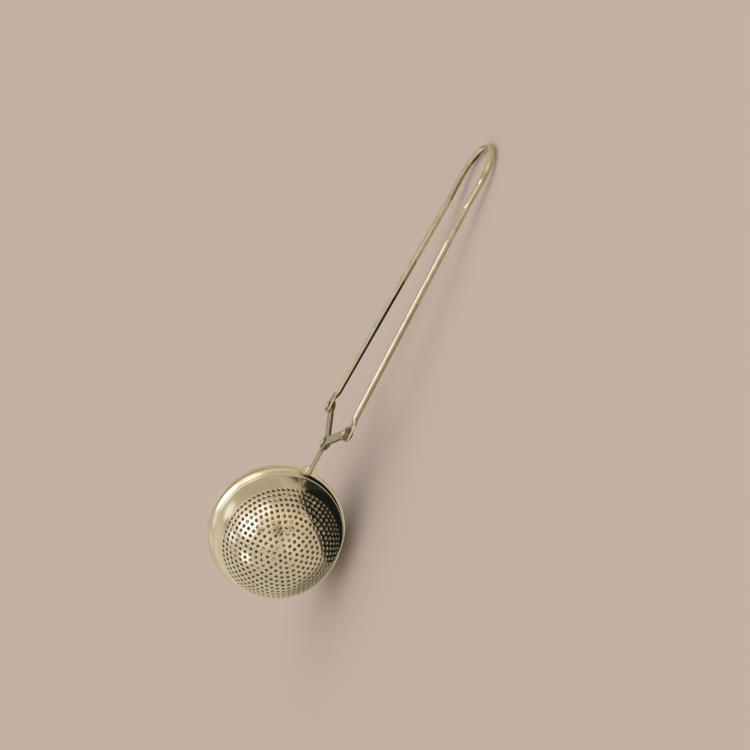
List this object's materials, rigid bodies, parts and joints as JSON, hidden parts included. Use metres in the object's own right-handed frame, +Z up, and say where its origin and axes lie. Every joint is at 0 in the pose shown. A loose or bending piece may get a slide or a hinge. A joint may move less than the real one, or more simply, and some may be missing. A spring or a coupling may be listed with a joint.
{
  "type": "tea infuser",
  "caption": "Squeeze-handle tea infuser: two hinged perforated steel cups that a bent wire spring handle holds shut as a ball.",
  "frame": {"origin": "middle of the bounding box at its base, on the surface that the infuser lies on", "axes": "+X along the tool from the ball to the loop, +Z up from the surface it lies on, +Y from the front cup to the rear cup; the seam between the cups is the XZ plane, and the ball and the loop's end touch Z = 0"},
  "size_m": [0.1854, 0.0512, 0.0515],
  "materials": {
    "cup_steel": "polished stainless sheet",
    "strip_steel": "tumbled stainless strip with sheared edges",
    "wire_steel": "drawn and polished stainless spring wire",
    "rivet_steel": "domed stainless rivet heads"
  },
  "bodies": {
    "rear_leg": {"rear_wire_leg": "wire_steel", "rear_leg_rivet": "rivet_steel"},
    "front_leg": {"front_wire_leg": "wire_steel", "front_leg_rivet": "rivet_steel"},
    "rear_half": {"rear_arm": "strip_steel", "rear_cup": "cup_steel", "pivot_rivet": "rivet_steel"},
    "front_half": {"front_arm": "strip_steel", "front_cup": "cup_steel"}
  },
  "joints": [
    {"name": "handle_squeeze", "type": "hinge", "parent": "rear_leg", "child": "front_leg", "pos_m": [0.09148, 0, 0.0012], "axis": [-0.1532, 0, -0.9882], "range_deg": [0, 5.73], "stiffness_Nm_per_rad": 2, "springref_deg": -3.44},
    {"name": "rear_arm_turn", "type": "hinge", "parent": "rear_leg", "child": "rear_half", "pos_m": [-0.01964, 0.01854, 0.01842], "axis": [-0.1532, 0, -0.9882], "range_deg": [0, 28.15]},
    {"name": "front_arm_turn", "type": "hinge", "parent": "front_leg", "child": "front_half", "pos_m": [-0.01964, -0.01854, 0.01842], "axis": [0.1532, 0, 0.9882], "range_deg": [0, 28.15]}
  ],
  "couplings": [
    {"joint": "rear_arm_turn", "follows": "handle_squeeze", "ratio": 4.86},
    {"joint": "front_arm_turn", "follows": "handle_squeeze", "ratio": 4.86}
  ]
}
